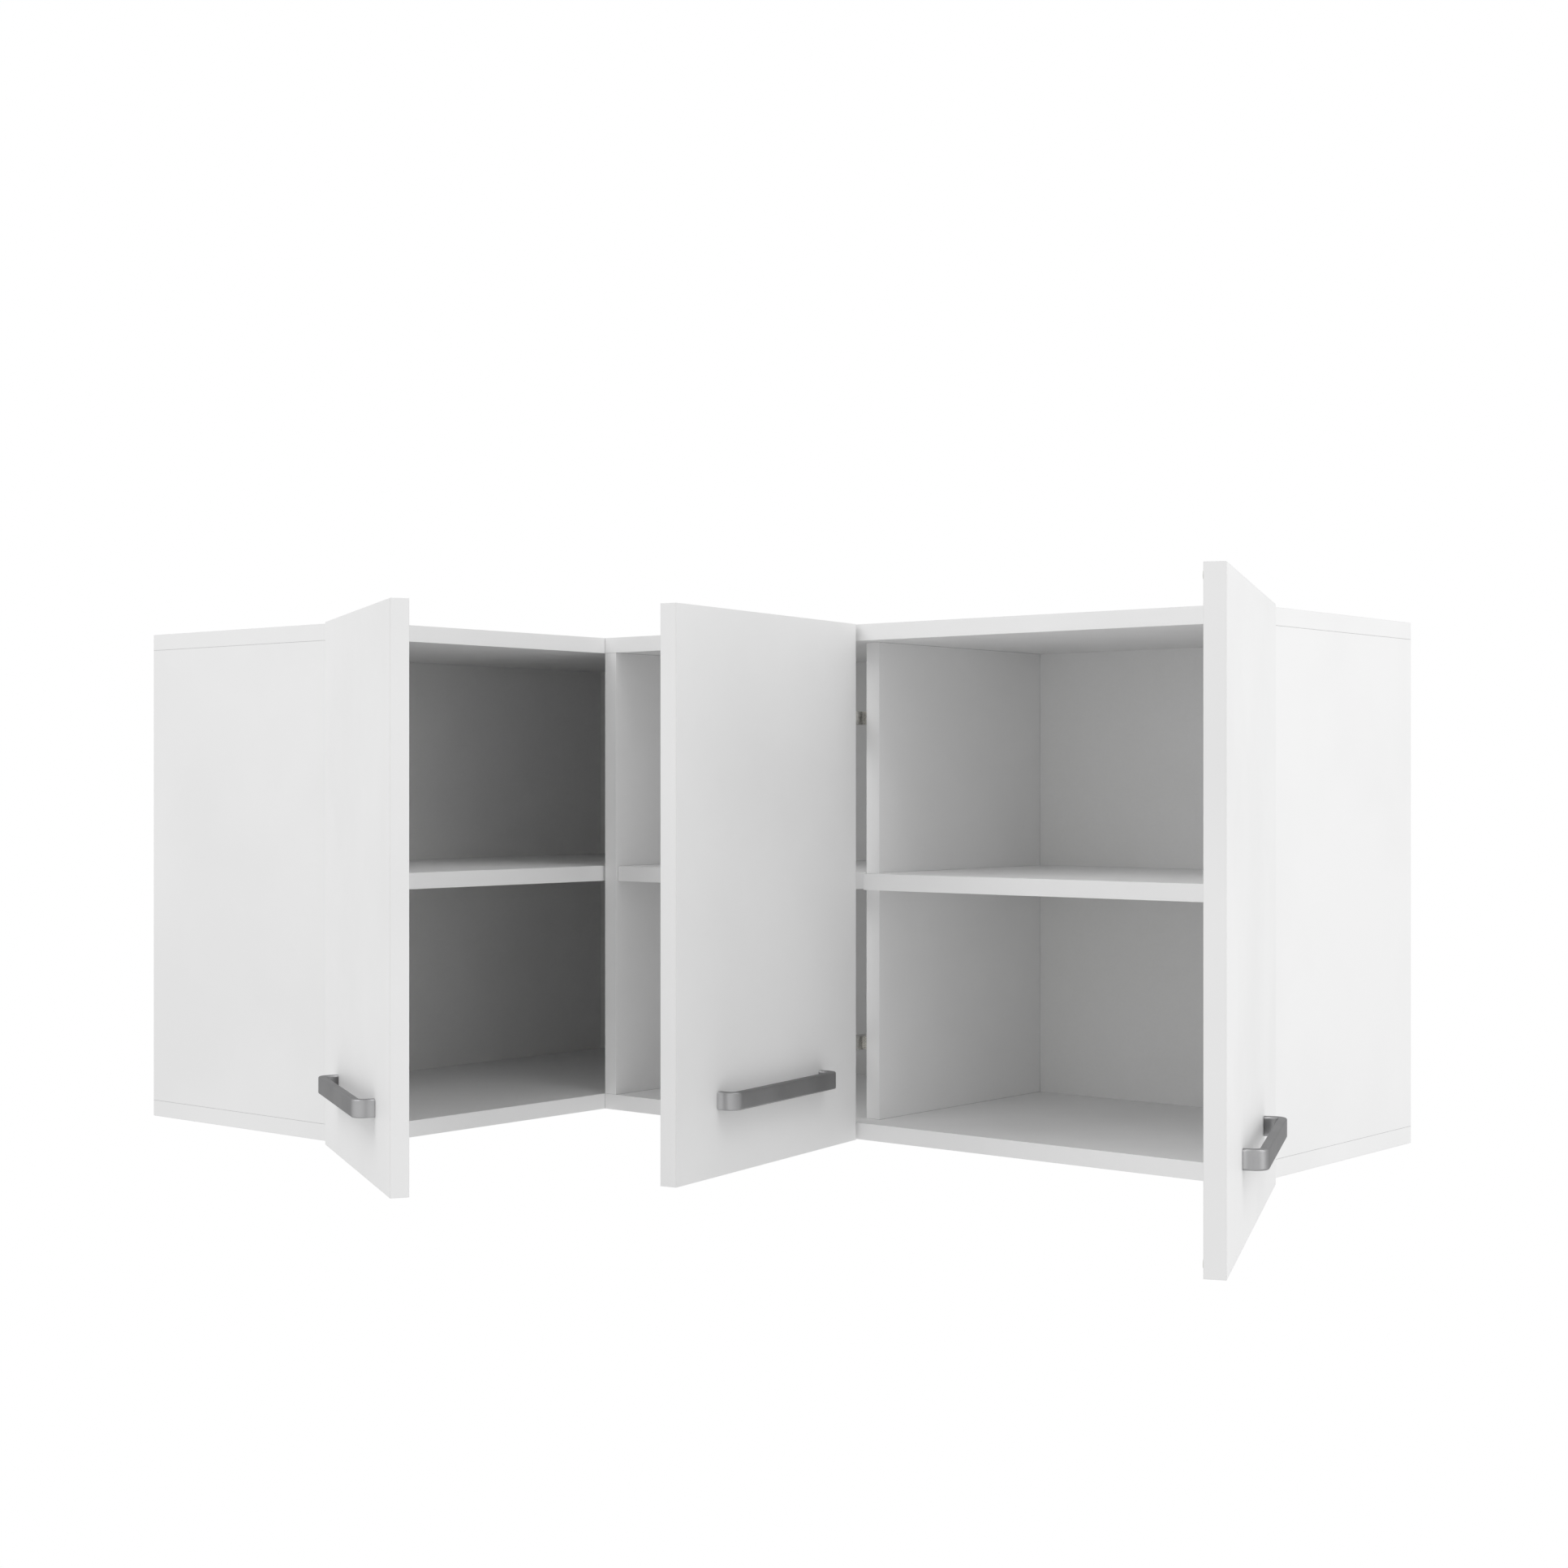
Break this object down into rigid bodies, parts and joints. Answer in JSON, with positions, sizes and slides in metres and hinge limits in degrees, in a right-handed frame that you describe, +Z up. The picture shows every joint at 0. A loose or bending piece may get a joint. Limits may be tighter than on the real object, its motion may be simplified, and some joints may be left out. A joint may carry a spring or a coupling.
{
  "type": "corner wall cabinet",
  "caption": "L-shaped corner wall cabinet with white boards, hinged overlay doors on bow handles, a shelf in each compartment and wall hangers.",
  "frame": {"origin": "the corner of the room at the cabinet's underside, where the rear wall plane, the left wall plane and the underside meet", "axes": "+X along the rear wall towards the right end, +Y into the rear wall, +Z up; the left wall is the plane X = 0 and the rear wall is the plane Y = 0"},
  "size_m": [1.2716, 0.8353, 0.5],
  "materials": {
    "white_board": "white melamine, matt",
    "hardboard_back": "white lacquered hardboard",
    "handle_metal": "satin grey zinc casting",
    "zinc_steel": "nickel-plated steel",
    "white_plastic": "moulded",
    "beech": "fluted dowel, plain"
  },
  "bodies": {
    "carcass": {"left_top": "white_board", "left_bottom": "white_board", "right_top": "white_board", "right_bottom": "white_board", "left_end_panel": "white_board", "right_end_panel": "white_board", "post_panel": "white_board", "partition_panel": "white_board", "left_back": "hardboard_back", "corner_back": "hardboard_back", "right_back": "hardboard_back", "left_shelf": "white_board", "middle_shelf": "white_board", "right_shelf": "white_board", "left_shelf_pins": "zinc_steel", "middle_shelf_pins": "zinc_steel", "right_shelf_pins": "zinc_steel", "left_carcass_screws": "zinc_steel", "right_carcass_screws": "zinc_steel", "joining_dowels": "beech", "hanger_housings": "white_plastic", "hanger_hooks": "zinc_steel", "hanger_adjusters": "zinc_steel", "left_hinge_arms": "zinc_steel", "middle_hinge_arms": "zinc_steel", "right_hinge_arms": "zinc_steel", "left_hinge_plates": "zinc_steel", "middle_hinge_plates": "zinc_steel", "right_hinge_plates": "zinc_steel", "left_plate_screws": "zinc_steel", "middle_plate_screws": "zinc_steel", "right_plate_screws": "zinc_steel"},
    "left_door": {"left_door": "white_board", "left_handle": "handle_metal", "left_handle_screws": "zinc_steel", "left_hinge_cups": "zinc_steel", "left_hinge_links": "zinc_steel", "left_cup_screws": "zinc_steel", "left_bumpers": "white_plastic"},
    "middle_door": {"middle_door": "white_board", "middle_handle": "handle_metal", "middle_handle_screws": "zinc_steel", "middle_hinge_cups": "zinc_steel", "middle_cup_screws": "zinc_steel", "middle_bumpers": "white_plastic"},
    "right_door": {"right_door": "white_board", "right_handle": "handle_metal", "right_handle_screws": "zinc_steel", "right_hinge_cups": "zinc_steel", "right_hinge_links": "zinc_steel", "right_cup_screws": "zinc_steel", "right_bumpers": "white_plastic"}
  },
  "joints": [
    {"name": "left_door_hinge", "type": "hinge", "parent": "carcass", "child": "left_door", "pos_m": [0.314, -0.657, 0.25], "axis": [0, 0, -1], "range_deg": [-119.6, 0]},
    {"name": "middle_door_hinge", "type": "hinge", "parent": "carcass", "child": "middle_door", "pos_m": [0.6604, -0.3344, 0.25], "axis": [0, 0, 1], "range_deg": [-99.6, 0]},
    {"name": "right_door_hinge", "type": "hinge", "parent": "carcass", "child": "right_door", "pos_m": [1.081, -0.314, 0.25], "axis": [0, 0, 1], "range_deg": [-113.8, 0]}
  ],
  "couplings": [
    {"joint": "middle_door_hinge", "follows": "right_door_hinge", "ratio": 0.8752}
  ]
}
